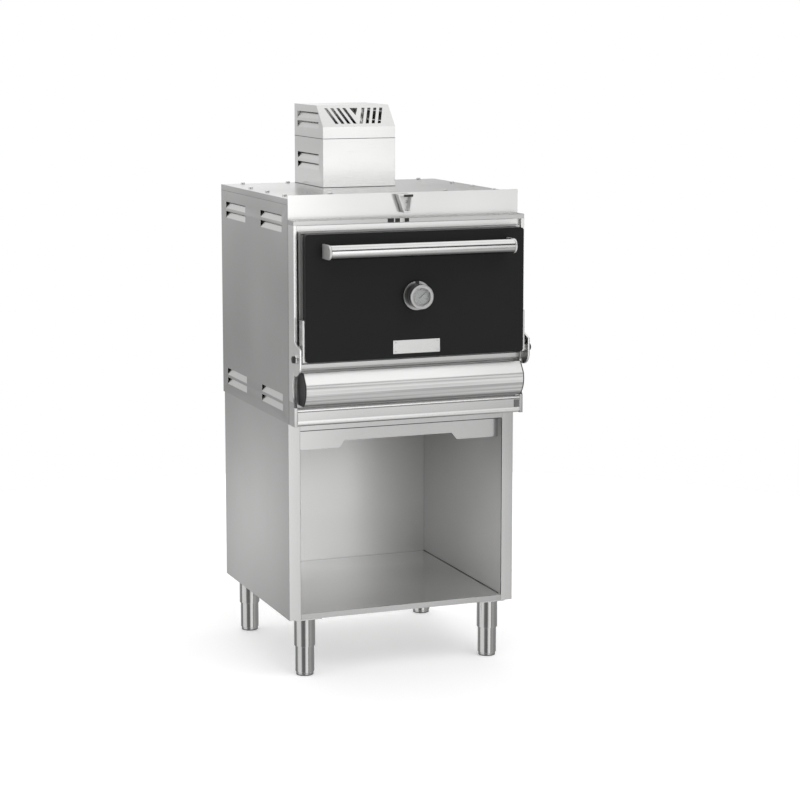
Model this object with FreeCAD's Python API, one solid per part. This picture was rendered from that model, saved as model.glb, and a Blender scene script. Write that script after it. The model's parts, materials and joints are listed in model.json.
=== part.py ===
import FreeCAD, Part
import math
import os

V = FreeCAD.Vector

# Charcoal oven on an open cabinet. Millimetres, X to the right, Y to the back, Z up from the floor.
# The pieces are drawn with Y = 0 at the oven's front rim, and moved at the end so that the whole is centred.

# Sheet and plate
sheet = 1.5                  # casing, cabinet, hat and tray
frame_sheet = 2.0            # door frame and base plate
plate = 4.0                  # firebox
slide_gap = 0.3              # between parts that slide over each other
running_clearance = 0.05     # round pins, rods and spindles

# Legs and cabinet
leg_height = 164.0
leg_side_inset = 57.0        # leg centres inside the cabinet's sides
leg_front_inset = 43.0
leg_rear_inset = 39.0
leg_plate = 4.0
leg_plate_size = 76.0
sleeve_diameter = 58.0
sleeve_length = 78.0
foot_diameter = 52.0
foot_wall = 3.0
foot_clearance = 0.1
pad_diameter = 48.0
pad_height = 9.0
cabinet_height = 541.0
cabinet_side_setback = 2.0   # cabinet inside the oven's sides
cabinet_front = 60.0         # cabinet front behind the rim
cabinet_rear_setback = 6.0
wall_thickness = 33.0        # hollow side wall, skin to lining
shelf_height = 16.0
rail_height = 22.0
rail_flange = 50.0
rear_rail_height = 40.0
apron_setback = 30.0
apron_drop = 80.0            # deep ends of the apron, below the cabinet top
apron_notch = 19.0
apron_notch_width = 312.0
apron_notch_slope = 16.0

# Oven casing
oven_width = 660.0
oven_depth = 648.0
fascia_height = 64.0
fascia_stand = 9.0           # fascia above the top cover
cover_flange = 16.0
rim_width = 9.0
rim_top_width = 13.0         # bar above the door
rim_depth = 45.0
face_setback = 12.0          # door frame's face behind the rim
notch_depth = 15.0           # finger notch of the surround beside the drawer front
notch_height = 108.0
rim_slots = ((-66.0, 17.0), (-44.5, 12.5), (-17.5, 11.5))   # left end and length of each slot of the top bar
rim_slot_height = 9.0
rim_slot_depth = 12.0

# Front, from the oven's bottom upwards
lower_rail_height = 50.0
lower_rail_fold = 9.0
lower_rail_slope = 4.0
drawer_gap_below = 7.0
drawer_front_height = 90.0
drawer_gap_above = 8.0
sill_strip_height = 12.0
door_gap_below = 9.0
door_height = 337.0
door_gap_above = 20.0

# Gills of the side panels and of the hat
gill_length = 184.0
gill_height = 20.0
gill_depth = 9.0
gill_pitch = 27.0
gill_front_y = 190.0         # middle of the front column behind the rim, of the rear one before the back
gill_rear_inset = 137.0
gill_top_inset = 54.0        # from the panel's top to the middle of the upper pair
gill_bottom_inset = 51.0     # from the panel's bottom to the middle of the lower pair

# Door
door_side_gap = 10.0         # inside the surround
door_depth = 40.0
door_sheet = 2.0
door_corner = 8.0            # radius of the door's corners
back_plate_thickness = 3.0
back_plate_side_lip = 5.0
back_plate_top_lip = 4.0
back_plate_raise = 2.0
side_lap = 23.0              # door over the frame, each side
end_lap = 12.0               # door over the frame, top and bottom
liner_sheet = 2.5
liner_depth = 30.0
liner_side_gap = 5.0
liner_end_gap = 12.0
seal_width = 8.0
seal_gap = 0.7
seal_inset = 1.0

# Hinge
hinge_y = -18.0
hinge_rise = 8.0             # axis above the door's bottom edge
pin_diameter = 12.0
pin_head_diameter = 20.0
pin_head_length = 12.0
pin_end_gap = 0.5
ear_thickness = 6.0
ear_reach = 44.0
ear_top = 44.0
ear_front_top = 28.0
ear_front_bottom = 20.0
ear_bottom = 46.0
ear_boss_diameter = 20.0
strap_thickness = 7.0
strap_depth = 30.0
strap_front_inset = 6.0
strap_height = 112.0

# Handle
handle_inset = 46.0          # end plates inside the door's edges
handle_diameter = 38.0
handle_wall = 2.0
handle_standoff = 44.0       # bar axis in front of the door
handle_drop = 44.0           # bar axis below the door's top edge
post_width = 6.0
post_height = 39.0

# Thermometer and plate
thermometer_drop = 171.0     # centre below the door's top edge
flange_diameter = 78.0
flange_thickness = 6.0
neck_diameter = 50.0
neck_length = 16.0
bezel_diameter = 65.0
bezel_length = 18.0
dial_bore = 57.0
dial_depth = 12.0
dial_thickness = 1.5
dial_fit = 0.1
lens_thickness = 2.0
lens_inset = 1.5
needle_length = 22.0
needle_tail = 7.0
needle_width = 3.0
needle_thickness = 1.0
needle_lift = 1.5
needle_angle = 50.0          # clockwise from the dial's top
spindle_diameter = 3.0
spindle_length = 8.0
stem_diameter = 8.0
stem_length = 100.0
stem_clearance = 0.5
plate_width = 134.0
plate_height = 36.0
plate_thickness = 1.5
plate_rise = 30.0            # plate's middle above the door's bottom edge

# Ash drawer
drawer_side_gap = 7.0        # inside the surround
drawer_front_back = 10.0     # back of the rolled front behind the rim
drawer_front_reach = 44.0
drawer_front_shoulder = 21.0
drawer_fold_reach = 41.0
drawer_fold_drop = 28.0
end_cap_thickness = 3.0
tray_side_inset = 58.0       # inside the firebox
tray_rear_gap = 50.0
tray_height = 36.0
tray_side_gap = 8.0
tray_rise = 8.0              # above the firebox floor
runner_width = 25.0
runner_inset = 5.0

# Firebox
floor_rise = 52.0            # firebox floor above the oven's bottom
rear_insulation = 52.5
insulation_gap = 1.0
top_insulation = 40.0
grate_rise = 111.0           # underside of the grate above the firebox floor
grate_thickness = 14.0
grate_gap = 4.0
grate_border = 16.0
grate_bar = 10.0
grate_slot = 14.0
ledge_width = 24.0
ledge_height = 12.0
rack_rises = (110.0, 210.0)  # racks above the grate
rack_rail_height = 4.0
rack_bar = 8.0
rack_rod = 6.0
rack_rod_pitch = 24.0
rack_gap = 6.0

# Flue, damper and hat
pipe_diameter = 154.0
pipe_wall = 2.0
pipe_length = 190.0
pipe_cover_gap = 2.0
damper_rod_diameter = 10.0
damper_rod_drop = 15.0       # rod axis below the top cover
rod_relief = 8.0             # round the rod, in the front edge of the top cover
damper_rod_tail = 8.0
damper_plate_thickness = 3.0
damper_flat = 3.0
damper_edge_gap = 2.0
lever_thickness = 4.0
lever_hub_diameter = 20.0
lever_hub_length = 8.7
lever_top_width = 46.0
lever_foot_width = 22.0
lever_top = 20.0
lever_foot = 36.0
lever_window_top = 14.0
lever_window_foot = 28.0
lever_web = 9.0
hat_width = 216.0
hat_depth = 247.0
hat_rear_gap = 4.0
hat_box_height = 137.0
hat_flange = 18.0
cap_front_height = 32.5
cap_height = 91.0
cap_slope_depth = 55.0
hat_gill_rise = 68.0         # middle of the box's gills above its bottom
cap_gill_rise = 47.5
hat_gill_shift = 6.0         # gills behind the middle of the hat
vent_slot_width = 9.0
vent_slot_pitch = 18.0
vent_slot_first = 9.0
vent_slot_lean = 20.0
vent_slot_length = 58.0
vent_slot_count = 4
vent_triangle_width = 24.0
vent_triangle_height = 27.0

# Screws of the top cover
screw_diameter = 12.0
screw_height = 5.0
screw_edge = 26.0
screw_rounding = 2.5
screw_front = 103.0          # first side screw behind the cover's front edge
screw_rear = 200.0           # last side screw before the back
screw_rows = 3
screw_rear_x = 135.0
screw_corner_x = 271.0
screw_rear_inset = 20.0
screw_front_x = 168.0
screw_front_inset = 122.0

# Places worked out from the sizes above
half = oven_width / 2
cab_half = half - cabinet_side_setback
lining_x = cab_half - wall_thickness
cab_back = oven_depth - cabinet_rear_setback
leg_x = cab_half - leg_side_inset
z_oven = leg_height + cabinet_height
z_shelf = leg_height + shelf_height
frame_half = half - rim_width
z_rail_top = z_oven + lower_rail_height
z_drawer = z_rail_top + drawer_gap_below
z_drawer_top = z_drawer + drawer_front_height
z_strip = z_drawer_top + drawer_gap_above
z_strip_top = z_strip + sill_strip_height
z_door = z_strip_top + door_gap_below
z_door_top = z_door + door_height
z_frame_top = z_door_top + door_gap_above
z_ledge = z_frame_top + rim_top_width
z_fascia = z_ledge + fascia_height
z_top = z_fascia - fascia_stand
z_panel_top = z_top - cover_flange
panel_front = rim_depth + sheet
door_half = frame_half - door_side_gap
mouth_half = door_half - side_lap
z_mouth = z_door + end_lap
z_mouth_top = z_door_top - end_lap
z_hinge = z_door + hinge_rise
z_floor = z_oven + floor_rise
chamber_back = oven_depth - sheet - rear_insulation - plate
tray_half = mouth_half - tray_side_inset
z_tray = z_floor + tray_rise
z_grate = z_floor + grate_rise
z_grate_top = z_grate + grate_thickness
z_handle = z_door_top - handle_drop
handle_y = -door_depth - handle_standoff
z_dial = z_door_top - thermometer_drop
hat_back = oven_depth - hat_rear_gap
hat_front = hat_back - hat_depth
hat_half = hat_width / 2
z_cap = z_top + hat_box_height
flue_y = (hat_front + hat_back) / 2
z_pipe = z_mouth_top + plate
z_rod = z_top - damper_rod_drop
through = 50.0               # spare length of a cutting tool
y_middle = (oven_depth + handle_y - post_height / 2) / 2


def box(x0, x1, y0, y1, z0, z1):
    return Part.makeBox(x1 - x0, y1 - y0, z1 - z0, V(x0, y0, z0))


def rounded_box(x0, x1, y0, y1, z0, z1, radius):
    # The edges along Y are rounded.
    block = box(x0, x1, y0, y1, z0, z1)
    edges = [e for e in block.Edges if e.BoundBox.YLength > (y1 - y0) / 2]
    return block.makeFillet(radius, edges)


def rod_x(x0, x1, y, z, diameter):
    return Part.makeCylinder(diameter / 2, x1 - x0, V(x0, y, z), V(1, 0, 0))


def rod_y(y0, y1, x, z, diameter):
    return Part.makeCylinder(diameter / 2, y1 - y0, V(x, y0, z), V(0, 1, 0))


def rod_z(z0, z1, x, y, diameter):
    return Part.makeCylinder(diameter / 2, z1 - z0, V(x, y, z0), V(0, 0, 1))


def polygon(points):
    return Part.Face(Part.makePolygon(points + points[:1]))


def profile_x(points, x0, x1):
    # An outline of (y, z) points, drawn out along X.
    return polygon([V(x0, y, z) for y, z in points]).extrude(V(x1 - x0, 0, 0))


def profile_y(points, y0, y1):
    # An outline of (x, z) points, drawn out along Y.
    return polygon([V(x, y0, z) for x, z in points]).extrude(V(0, y1 - y0, 0))


def fused(shapes):
    return shapes[0].multiFuse(shapes[1:]).removeSplitter()


def mirrored(shape):
    return shape.mirror(V(0, 0, 0), V(1, 0, 0))


def both_sides(shape):
    return Part.makeCompound([shape, mirrored(shape)])


def hollow_profile(face, wall, x0, x1):
    # A closed tube of sheet with the given outline, drawn out along X.
    inner = face.makeOffset2D(-wall)
    return face.cut(inner).extrude(V(x1 - x0, 0, 0))


def gills_right(panel, x_face, y_middle_of_gill, z_pair):
    # A pair of gills: the sheet is cut and pushed in, hinged at the lower edge of each gill.
    y0 = y_middle_of_gill - gill_length / 2
    y1 = y_middle_of_gill + gill_length / 2
    for z in (z_pair - gill_pitch / 2, z_pair + gill_pitch / 2):
        low = z - gill_height / 2
        high = z + gill_height / 2
        inner = x_face - gill_depth
        panel = panel.cut(box(x_face - sheet, x_face, y0, y1, low, high))
        flap = profile_y([(x_face, low), (inner, high), (inner - sheet, high), (x_face - sheet, low)], y0, y1)
        panel = fused([panel, flap])
    return panel


def leg_places():
    for name, y in (("front", cabinet_front + leg_front_inset), ("rear", cab_back - leg_rear_inset)):
        for side, x in (("left", -leg_x), ("right", leg_x)):
            yield name + "_" + side, x, y


def make_legs():
    nodes = {}
    plates = []
    sleeves = []
    z_plate = leg_height - leg_plate
    bore = foot_diameter + 2 * foot_clearance
    for name, x, y in leg_places():
        reach = leg_plate_size / 2
        plates.append(box(x - reach, x + reach, y - reach, y + reach, z_plate, leg_height))
        sleeve = rod_z(z_plate - sleeve_length, z_plate, x, y, sleeve_diameter)
        sleeves.append(sleeve.cut(rod_z(z_plate - sleeve_length, z_plate, x, y, bore)))
        foot = rod_z(pad_height, z_plate, x, y, foot_diameter)
        foot = foot.cut(rod_z(pad_height + foot_wall, z_plate, x, y, foot_diameter - 2 * foot_wall))
        nodes["foot_" + name] = foot
        nodes["foot_pad_" + name] = rod_z(0, pad_height, x, y, pad_diameter)
    nodes["leg_plates"] = Part.makeCompound(plates)
    nodes["leg_sleeves"] = Part.makeCompound(sleeves)
    return nodes


def make_cabinet():
    skin = box(lining_x, cab_half, cabinet_front, cab_back, leg_height, z_oven)
    hollow = box(lining_x, cab_half - sheet, cabinet_front + sheet, cab_back - sheet, leg_height, z_oven)
    side = skin.cut(hollow)
    lining = box(lining_x, lining_x + sheet, cabinet_front + sheet, cab_back - sheet, leg_height, z_oven)
    back_y = cab_back - sheet
    back = box(-lining_x, lining_x, back_y - sheet, back_y, z_shelf, z_oven)
    shelf = box(-lining_x, lining_x, cabinet_front, back_y, leg_height, z_shelf)
    shelf = shelf.cut(box(-lining_x + sheet, lining_x - sheet, cabinet_front + sheet, back_y - sheet,
                          leg_height, z_shelf - sheet))
    z_flange = z_oven - sheet
    front_rail = fused([
        box(-lining_x, lining_x, cabinet_front, cabinet_front + sheet, z_oven - rail_height, z_oven),
        box(-lining_x, lining_x, cabinet_front, cabinet_front + rail_flange, z_flange, z_oven)])
    rail_back = back_y - sheet
    rear_rail = fused([
        box(-lining_x, lining_x, rail_back - sheet, rail_back, z_oven - rear_rail_height, z_oven),
        box(-lining_x, lining_x, rail_back - rail_flange, rail_back, z_flange, z_oven)])
    apron_y = cabinet_front + apron_setback
    low = z_oven - apron_drop
    high = low + apron_notch
    inner = apron_notch_width / 2
    outer = inner + apron_notch_slope
    apron = profile_y([(-lining_x, low), (-outer, low), (-inner, high), (inner, high), (outer, low),
                       (lining_x, low), (lining_x, z_flange), (-lining_x, z_flange)], apron_y, apron_y + sheet)
    return {
        "cabinet_side_right": side,
        "cabinet_side_left": mirrored(side),
        "cabinet_linings": both_sides(lining),
        "cabinet_back": back,
        "cabinet_shelf": shelf,
        "cabinet_rails": Part.makeCompound([front_rail, rear_rail]),
        "cabinet_apron": apron,
    }


def make_casing():
    panel = box(half - sheet, half, panel_front, oven_depth, z_oven, z_panel_top)
    for y in (gill_front_y, oven_depth - gill_rear_inset):
        panel = gills_right(panel, half, y, z_panel_top - gill_top_inset)
        panel = gills_right(panel, half, y, z_oven + gill_bottom_inset)
    inside = half - sheet
    back_y = oven_depth - sheet
    rear = box(-inside, inside, back_y, oven_depth, z_oven, z_panel_top)
    base = box(-inside, inside, rim_depth, back_y, z_oven, z_oven + frame_sheet)
    cover = box(-half, half, panel_front, oven_depth, z_panel_top, z_top)
    cover = cover.cut(box(-inside, inside, panel_front + sheet, back_y, z_panel_top, z_top - sheet))
    cover = cover.cut(rod_z(z_panel_top, z_top, 0, flue_y, pipe_diameter + 2 * pipe_cover_gap))
    rod_hole = damper_rod_diameter + 2 * running_clearance
    cover = cover.cut(rod_y(panel_front, panel_front + sheet, 0, z_rod, damper_rod_diameter + 2 * rod_relief))
    fascia = box(-half, half, rim_depth, panel_front, z_ledge, z_fascia)
    fascia = fascia.cut(rod_y(rim_depth, panel_front, 0, z_rod, rod_hole))
    return {
        "side_panel_right": panel,
        "side_panel_left": mirrored(panel),
        "rear_panel": rear,
        "base_plate": base,
        "top_cover": cover,
        "fascia": fascia,
        "top_screws": Part.makeCompound([make_screw(x, y) for x, y in screw_places()]),
    }


def screw_places():
    x_side = half - screw_edge
    first = panel_front + screw_front
    pitch = (oven_depth - screw_rear - first) / (screw_rows - 1)
    for i in range(screw_rows):
        y = first + i * pitch
        yield x_side, y
        yield -x_side, y
    for side in (-1, 1):
        yield side * screw_front_x, panel_front + screw_front_inset
        yield side * screw_rear_x, oven_depth - screw_rear_inset
        yield side * screw_corner_x, oven_depth - screw_rear_inset


def make_screw(x, y):
    head = rod_z(z_top, z_top + screw_height, x, y, screw_diameter)
    crown = [e for e in head.Edges if e.BoundBox.ZMin > z_top + screw_height / 2]
    return head.makeFillet(screw_rounding, crown)


def make_front():
    outer = box(-half, half, 0, rim_depth, z_oven, z_ledge)
    surround = outer.cut(box(-frame_half, frame_half, 0, rim_depth, z_oven, z_frame_top))
    radius = (notch_height ** 2 / 4 + notch_depth ** 2) / (2 * notch_depth)
    z_notch = (z_drawer + z_drawer_top) / 2
    surround = surround.cut(rod_x(-half, half, notch_depth - radius, z_notch, 2 * radius))
    z_slot = z_frame_top + (rim_top_width - rim_slot_height) / 2
    for x, length in rim_slots:
        surround = surround.cut(box(x, x + length, 0, rim_slot_depth, z_slot, z_slot + rim_slot_height))

    window_half = tray_half + tray_side_gap
    mouth = (mouth_half, z_mouth, z_mouth_top)
    drawer_mouth = (window_half, z_floor, z_drawer_top)
    frame = box(-frame_half, frame_half, face_setback, rim_depth, z_oven, z_frame_top)
    s = frame_sheet
    hollow = box(-frame_half + s, frame_half - s, face_setback + s, rim_depth, z_oven + s, z_frame_top - s)
    for x, low, high in (mouth, drawer_mouth):
        hollow = hollow.cut(box(-x - s, x + s, face_setback, rim_depth, low - s, high + s))
        frame = frame.cut(box(-x, x, face_setback, rim_depth, low, high))
    strip = box(-frame_half, frame_half, 0, face_setback, z_strip, z_strip_top)
    frame = fused([frame.cut(hollow), strip])

    fold = z_rail_top - lower_rail_fold
    turn = face_setback * math.sqrt(0.5)
    edges = [
        Part.LineSegment(V(0, face_setback, z_oven), V(0, face_setback, z_rail_top)),
        Part.LineSegment(V(0, face_setback, z_rail_top), V(0, lower_rail_slope, z_rail_top)),
        Part.LineSegment(V(0, lower_rail_slope, z_rail_top), V(0, 0, fold)),
        Part.LineSegment(V(0, 0, fold), V(0, 0, z_oven + face_setback)),
        Part.Arc(V(0, 0, z_oven + face_setback), V(0, face_setback - turn, z_oven + face_setback - turn),
                 V(0, face_setback, z_oven))]
    outline = Part.Face(Part.Wire([e.toShape() for e in edges]))
    rail = hollow_profile(outline, sheet, -frame_half, frame_half)
    rail.translate(V(-frame_half, 0, 0))
    return {"front_surround": surround, "door_frame": frame, "lower_rail": rail}


def make_firebox():
    outer = mouth_half + plate
    side = box(mouth_half, outer, rim_depth, chamber_back, z_floor, z_mouth_top)
    back = box(-outer, outer, chamber_back, chamber_back + plate, z_floor, z_mouth_top)
    roof = box(-outer, outer, rim_depth, chamber_back + plate, z_mouth_top, z_pipe)
    roof = roof.cut(rod_z(z_mouth_top, z_pipe, 0, flue_y, pipe_diameter - 2 * pipe_wall))
    floor = box(-outer, outer, rim_depth, chamber_back + plate, z_floor - plate, z_floor)

    wool_x = half - sheet - gill_depth - sheet - insulation_gap
    wool_back = oven_depth - sheet
    z_base = z_oven + frame_sheet
    z_wool = z_pipe + top_insulation
    rear_y = chamber_back + plate
    side_wool = box(outer, wool_x, panel_front, wool_back, z_base, z_wool)
    back_wool = box(-outer, outer, rear_y, wool_back, z_base, z_wool)
    low_wool = box(-outer, outer, rim_depth, rear_y, z_base, z_floor - plate)
    top_wool = box(-outer, outer, panel_front, rear_y, z_pipe, z_wool)
    pipe_hole = rod_z(z_pipe, z_wool, 0, flue_y, pipe_diameter + 2 * insulation_gap)
    back_wool = back_wool.cut(pipe_hole)
    wool = [side_wool, mirrored(side_wool), back_wool, low_wool, top_wool.cut(pipe_hole)]
    return {
        "firebox_sides": both_sides(side),
        "firebox_back": back,
        "firebox_roof": roof,
        "firebox_floor": floor,
        "insulation": Part.makeCompound(wool),
    }


def make_grate():
    x = mouth_half - grate_gap
    y0 = rim_depth + grate_gap
    y1 = chamber_back - grate_gap
    grate = box(-x, x, y0, y1, z_grate, z_grate_top)
    pitch = grate_bar + grate_slot
    count = int((2 * x - 2 * grate_border + grate_bar) // pitch)
    first = -(count * pitch - grate_bar) / 2
    middle = (y0 + y1) / 2
    slots = []
    for i in range(count):
        left = first + i * pitch
        right = left + grate_slot
        slots.append(box(left, right, y0 + grate_border, middle - grate_bar / 2, z_grate, z_grate_top))
        slots.append(box(left, right, middle + grate_bar / 2, y1 - grate_border, z_grate, z_grate_top))
    return grate.cut(Part.makeCompound(slots))


def make_rack(z):
    x = mouth_half - rack_gap
    y0 = rim_depth + rack_gap
    y1 = chamber_back - rack_gap
    ring = box(-x, x, y0, y1, z, z + rack_bar)
    ring = ring.cut(box(-x + rack_bar, x - rack_bar, y0 + rack_bar, y1 - rack_bar, z, z + rack_bar))
    span = 2 * (x - rack_bar)
    count = int(span // rack_rod_pitch)
    first = -(count - 1) * rack_rod_pitch / 2
    middle = z + rack_bar / 2
    rods = [rod_y(y0 + rack_bar / 2, y1 - rack_bar / 2, first + i * rack_rod_pitch, middle, rack_rod)
            for i in range(count)]
    return fused([ring] + rods)


def make_chamber_fittings():
    y0 = rim_depth + grate_gap
    y1 = chamber_back - grate_gap
    inner = mouth_half - ledge_width
    ledges = [box(inner, mouth_half, y0, y1, z_grate - ledge_height, z_grate)]
    racks = []
    for rise in rack_rises:
        z = z_grate_top + rise
        ledges.append(box(inner, mouth_half, y0, y1, z - rack_rail_height, z))
        racks.append(make_rack(z))
    x0 = tray_half - runner_inset - runner_width
    runner = box(x0, x0 + runner_width, y0, y1, z_floor, z_tray - slide_gap)
    return {
        "fire_grate": make_grate(),
        "chamber_ledges": Part.makeCompound(ledges + [mirrored(s) for s in ledges]),
        "grill_racks": Part.makeCompound(racks),
        "drawer_runners": both_sides(runner),
    }


def make_drawer():
    shoulder = (-drawer_front_shoulder, z_drawer_top)
    fold = (-drawer_fold_reach, z_drawer_top - drawer_fold_drop)
    crown = (-drawer_front_reach, z_drawer + drawer_front_height / 2)
    toe = (-drawer_front_shoulder, z_drawer)

    def at(point):
        return V(0, point[0], point[1])

    back_top = V(0, drawer_front_back, z_drawer_top)
    back_low = V(0, drawer_front_back, z_drawer)
    edges = [
        Part.LineSegment(back_low, back_top),
        Part.LineSegment(back_top, at(shoulder)),
        Part.LineSegment(at(shoulder), at(fold)),
        Part.Arc(at(fold), at(crown), at(toe)),
        Part.LineSegment(at(toe), back_low)]
    outline = Part.Face(Part.Wire([e.toShape() for e in edges]))
    cap_x = frame_half - drawer_side_gap
    shell_x = cap_x - end_cap_thickness
    shell = hollow_profile(outline, sheet, -shell_x, shell_x)
    shell.translate(V(-shell_x, 0, 0))
    cap = outline.extrude(V(end_cap_thickness, 0, 0))
    cap.translate(V(shell_x, 0, 0))
    tray_back = chamber_back - tray_rear_gap
    tray = box(-tray_half, tray_half, drawer_front_back, tray_back, z_tray, z_tray + tray_height)
    tray = tray.cut(box(-tray_half + sheet, tray_half - sheet, drawer_front_back + sheet, tray_back - sheet,
                        z_tray + sheet, z_tray + tray_height))
    return {"drawer_front": shell, "drawer_end_caps": both_sides(cap), "ash_tray": tray}


def make_door():
    s = door_sheet
    stem_hole = rod_y(-door_depth - through, through, 0, z_dial, stem_diameter + 2 * stem_clearance)
    shell = rounded_box(-door_half, door_half, -door_depth, 0, z_door, z_door_top, door_corner)
    inside = rounded_box(-door_half + s, door_half - s, -door_depth + s, 0, z_door + s, z_door_top - s,
                         door_corner - s)
    plate_x = door_half + back_plate_side_lip
    plate_y = back_plate_thickness
    back = box(-plate_x, plate_x, 0, plate_y, z_door + back_plate_raise, z_door_top + back_plate_top_lip)

    liner_half = mouth_half - liner_side_gap
    low = z_mouth + liner_end_gap
    high = z_mouth_top - liner_end_gap
    w = liner_sheet
    liner_back = plate_y + liner_depth
    liner = box(-liner_half, liner_half, plate_y, liner_back, low, high)
    wool = box(-liner_half + w, liner_half - w, plate_y, liner_back - w, low + w, high - w)

    seal_x = mouth_half + seal_inset
    seal_low = z_mouth - seal_inset
    seal_high = z_mouth_top + seal_inset
    seal_back = face_setback - seal_gap
    seal = box(-seal_x - seal_width, seal_x + seal_width, plate_y, seal_back,
               seal_low - seal_width, seal_high + seal_width)
    seal = seal.cut(box(-seal_x, seal_x, plate_y, seal_back, seal_low, seal_high))

    strap_y = -door_depth + strap_front_inset
    strap = box(door_half, door_half + strap_thickness, strap_y, strap_y + strap_depth,
                z_door, z_door + strap_height)
    bore = pin_diameter + 2 * running_clearance
    strap = strap.cut(rod_x(door_half, door_half + strap_thickness, hinge_y, z_hinge, bore))

    z_plate = z_door + plate_rise
    bare_plate = box(-plate_width / 2, plate_width / 2, -door_depth - plate_thickness, -door_depth,
                     z_plate - plate_height / 2, z_plate + plate_height / 2)
    return {
        "door_shell": shell.cut(inside).cut(stem_hole),
        "door_back_plate": back.cut(stem_hole),
        "door_liner": liner.cut(wool).cut(stem_hole),
        "door_insulation": Part.makeCompound([inside.cut(stem_hole), wool.cut(stem_hole)]),
        "door_seal": seal,
        "door_straps": both_sides(strap),
        "door_plate": bare_plate,
    }


def make_hinges():
    inner = half - ear_thickness
    arc_mid = math.sqrt(0.5)
    top = V(inner, 0, z_hinge + ear_top)
    front_top = V(inner, -ear_reach, z_hinge + ear_front_top)
    front_low = V(inner, -ear_reach, z_hinge - ear_front_bottom)
    low = V(inner, 0, z_hinge - ear_bottom)
    fall = (ear_bottom - ear_front_bottom) * arc_mid
    bend = V(inner, -ear_reach * arc_mid, z_hinge - ear_front_bottom - fall)
    edges = [
        Part.LineSegment(top, front_top),
        Part.LineSegment(front_top, front_low),
        Part.Arc(front_low, bend, low),
        Part.LineSegment(low, top)]
    ear = Part.Face(Part.Wire([e.toShape() for e in edges])).extrude(V(ear_thickness, 0, 0))
    boss_x = door_half + strap_thickness + slide_gap
    ear = fused([ear, rod_x(boss_x, inner, hinge_y, z_hinge, ear_boss_diameter)])
    ear = ear.cut(rod_x(boss_x, half, hinge_y, z_hinge, pin_diameter))
    pin = fused([
        rod_x(door_half + pin_end_gap, half, hinge_y, z_hinge, pin_diameter),
        rod_x(half, half + pin_head_length, hinge_y, z_hinge, pin_head_diameter)])
    return {"hinge_ears": both_sides(ear), "hinge_pins": both_sides(pin)}


def make_handle():
    x1 = door_half - handle_inset
    x0 = x1 - post_width
    radius = post_height / 2
    block = box(x0, x1, handle_y, -door_depth, z_handle - radius, z_handle + radius)
    post = fused([block, rod_x(x0, x1, handle_y, z_handle, post_height)])
    bar = rod_x(-x0, x0, handle_y, z_handle, handle_diameter)
    bar = bar.cut(rod_x(-x0, x0, handle_y, z_handle, handle_diameter - 2 * handle_wall))
    return {"handle_posts": both_sides(post), "handle_bar": bar}


def make_thermometer():
    y_flange = -door_depth - flange_thickness
    y_cup = y_flange - neck_length
    y_front = y_cup - bezel_length
    y_floor = y_front + dial_depth
    y_dial = y_floor - dial_thickness
    case = fused([
        rod_y(y_flange, -door_depth, 0, z_dial, flange_diameter),
        rod_y(y_cup, y_flange, 0, z_dial, neck_diameter),
        rod_y(y_front, y_cup, 0, z_dial, bezel_diameter),
        rod_y(-door_depth, -door_depth + stem_length, 0, z_dial, stem_diameter)])
    case = case.cut(rod_y(y_front, y_floor, 0, z_dial, dial_bore))
    spindle_hole = spindle_diameter + 2 * running_clearance
    y_needle = y_dial - needle_lift - needle_thickness
    y_spindle_end = y_needle + spindle_length
    case = case.cut(rod_y(y_front, y_spindle_end + slide_gap, 0, z_dial, spindle_hole))
    dial_diameter = dial_bore - 2 * dial_fit
    dial = rod_y(y_dial, y_floor, 0, z_dial, dial_diameter)
    dial = dial.cut(rod_y(y_dial, y_floor, 0, z_dial, spindle_hole))
    y_lens = y_front + lens_inset
    lens = rod_y(y_lens, y_lens + lens_thickness, 0, z_dial, dial_diameter)
    w = needle_width / 2
    blade = profile_y([(-w, z_dial - needle_tail), (w, z_dial - needle_tail), (w, z_dial),
                       (0, z_dial + needle_length), (-w, z_dial)], y_needle, y_needle + needle_thickness)
    spindle = rod_y(y_needle, y_spindle_end, 0, z_dial, spindle_diameter)
    needle = fused([blade, spindle])
    needle.rotate(V(0, 0, z_dial), V(0, 1, 0), needle_angle)
    return {
        "thermometer_case": case,
        "thermometer_dial": dial,
        "thermometer_lens": lens,
        "thermometer_needle": needle,
    }


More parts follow.
